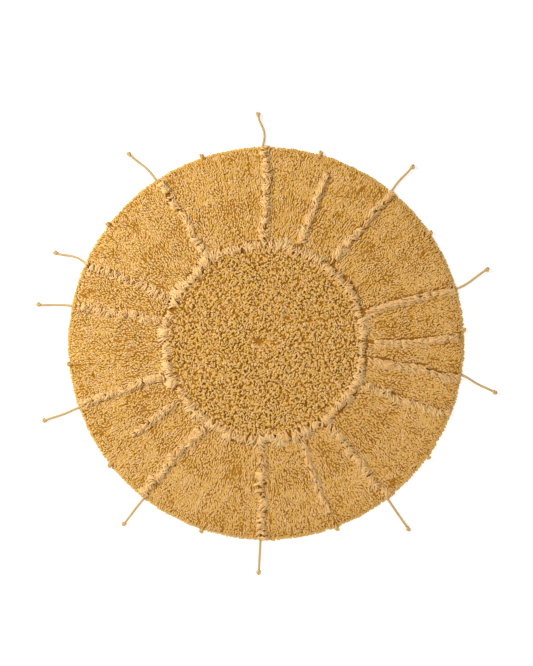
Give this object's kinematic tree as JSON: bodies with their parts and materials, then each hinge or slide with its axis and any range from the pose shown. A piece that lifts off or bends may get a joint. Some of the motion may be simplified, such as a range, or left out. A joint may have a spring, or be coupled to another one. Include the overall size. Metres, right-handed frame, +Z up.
{
  "type": "washable area rug",
  "caption": "Round washable rug lying flat, with gold cut pile, a raised ring and rays of longer beige locks, and knotted cords lying out from its rim.",
  "frame": {"origin": "middle of the rug's underside, on the floor", "axes": "+Z up out of the pile; +Y is the top of the rug as it is laid out, and +X is its right"},
  "size_m": [1.6413, 1.6476, 0.029],
  "materials": {
    "gold_pile": "heathered gold cotton, cut pile",
    "beige_locks": "beige cotton yarn, long soft locks",
    "beige_cord": "beige twisted cotton cord"
  },
  "bodies": {
    "root": {"rug_body": "gold_pile", "ring_band": "beige_locks", "ray_01": "beige_locks", "ray_02": "beige_locks", "ray_03": "beige_locks", "ray_04": "beige_locks", "ray_05": "beige_locks", "ray_06": "beige_locks", "ray_07": "beige_locks", "ray_08": "beige_locks", "ray_09": "beige_locks", "ray_10": "beige_locks", "ray_11": "beige_locks", "ray_12": "beige_locks", "ray_13": "beige_locks", "ray_14": "beige_locks", "ray_15": "beige_locks", "ray_16": "beige_locks", "cord_01": "beige_cord", "cord_02": "beige_cord", "cord_03": "beige_cord", "cord_04": "beige_cord", "cord_05": "beige_cord", "cord_06": "beige_cord", "cord_07": "beige_cord", "cord_08": "beige_cord", "cord_09": "beige_cord", "cord_10": "beige_cord", "cord_11": "beige_cord", "knot_01": "beige_cord", "knot_02": "beige_cord", "knot_03": "beige_cord", "knot_04": "beige_cord", "knot_05": "beige_cord", "knot_06": "beige_cord", "knot_07": "beige_cord", "knot_08": "beige_cord", "knot_09": "beige_cord", "knot_10": "beige_cord", "knot_11": "beige_cord", "short_knot_01": "beige_cord", "short_knot_02": "beige_cord", "short_knot_03": "beige_cord", "short_knot_04": "beige_cord", "short_knot_05": "beige_cord", "short_knot_06": "beige_cord", "short_knot_07": "beige_cord", "short_knot_08": "beige_cord", "short_knot_09": "beige_cord", "short_knot_10": "beige_cord"}
  },
  "joints": []
}
